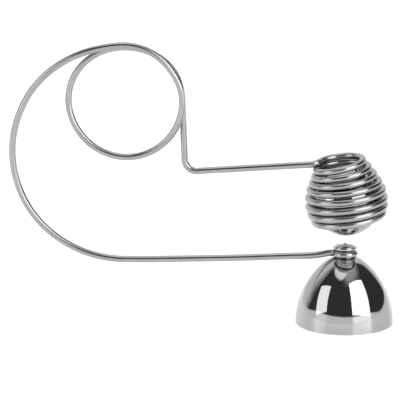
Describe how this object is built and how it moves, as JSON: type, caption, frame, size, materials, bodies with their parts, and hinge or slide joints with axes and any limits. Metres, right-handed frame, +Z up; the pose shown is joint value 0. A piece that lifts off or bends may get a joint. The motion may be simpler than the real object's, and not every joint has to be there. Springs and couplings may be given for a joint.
{
  "type": "egg topper",
  "caption": "Spring-wire egg topper: a bent wire with a round finger loop joins a polished open bell to a steel ball gripped in a beehive coil above the bell's screw.",
  "frame": {"origin": "centre of the bell's mouth, in the plane of its rim", "axes": "+Z up along the bell's axis, through the screw and the ball; the two arms run from the bell towards -X to the bow and the finger loop; -Y is the side whose front turn of the loop is whole"},
  "size_m": [0.1394, 0.0352, 0.1011],
  "materials": {
    "polished_bell": "mirror polished stainless sheet",
    "spring_wire": "bright drawn stainless spring wire",
    "ball_steel": "ground and polished bearing steel",
    "plated_screw": "bright plated, lightly marked by the striker",
    "washer_steel": "plain stamped washer",
    "nut_steel": "bright plated nut"
  },
  "bodies": {
    "bell_arm": {"bell": "polished_bell", "bell_screw": "plated_screw", "inner_washer": "washer_steel", "inner_nut": "nut_steel", "neck_eye": "spring_wire", "lower_arm": "spring_wire", "back_bow": "spring_wire", "finger_loop": "spring_wire", "loop_crossover": "spring_wire"},
    "striker_arm": {"loop_tail": "spring_wire", "riser": "spring_wire", "upper_arm": "spring_wire", "beehive_coil": "spring_wire", "striker_ball": "ball_steel"}
  },
  "joints": [
    {"name": "striker_swing", "type": "hinge", "parent": "bell_arm", "child": "striker_arm", "pos_m": [-0.07948, 0.00255, 0.07983], "axis": [0, -1, 0], "range_deg": [-2.1, 25], "stiffness_Nm_per_rad": 1.07, "springref_deg": 3.56, "deforming": ["loop_crossover"]}
  ]
}
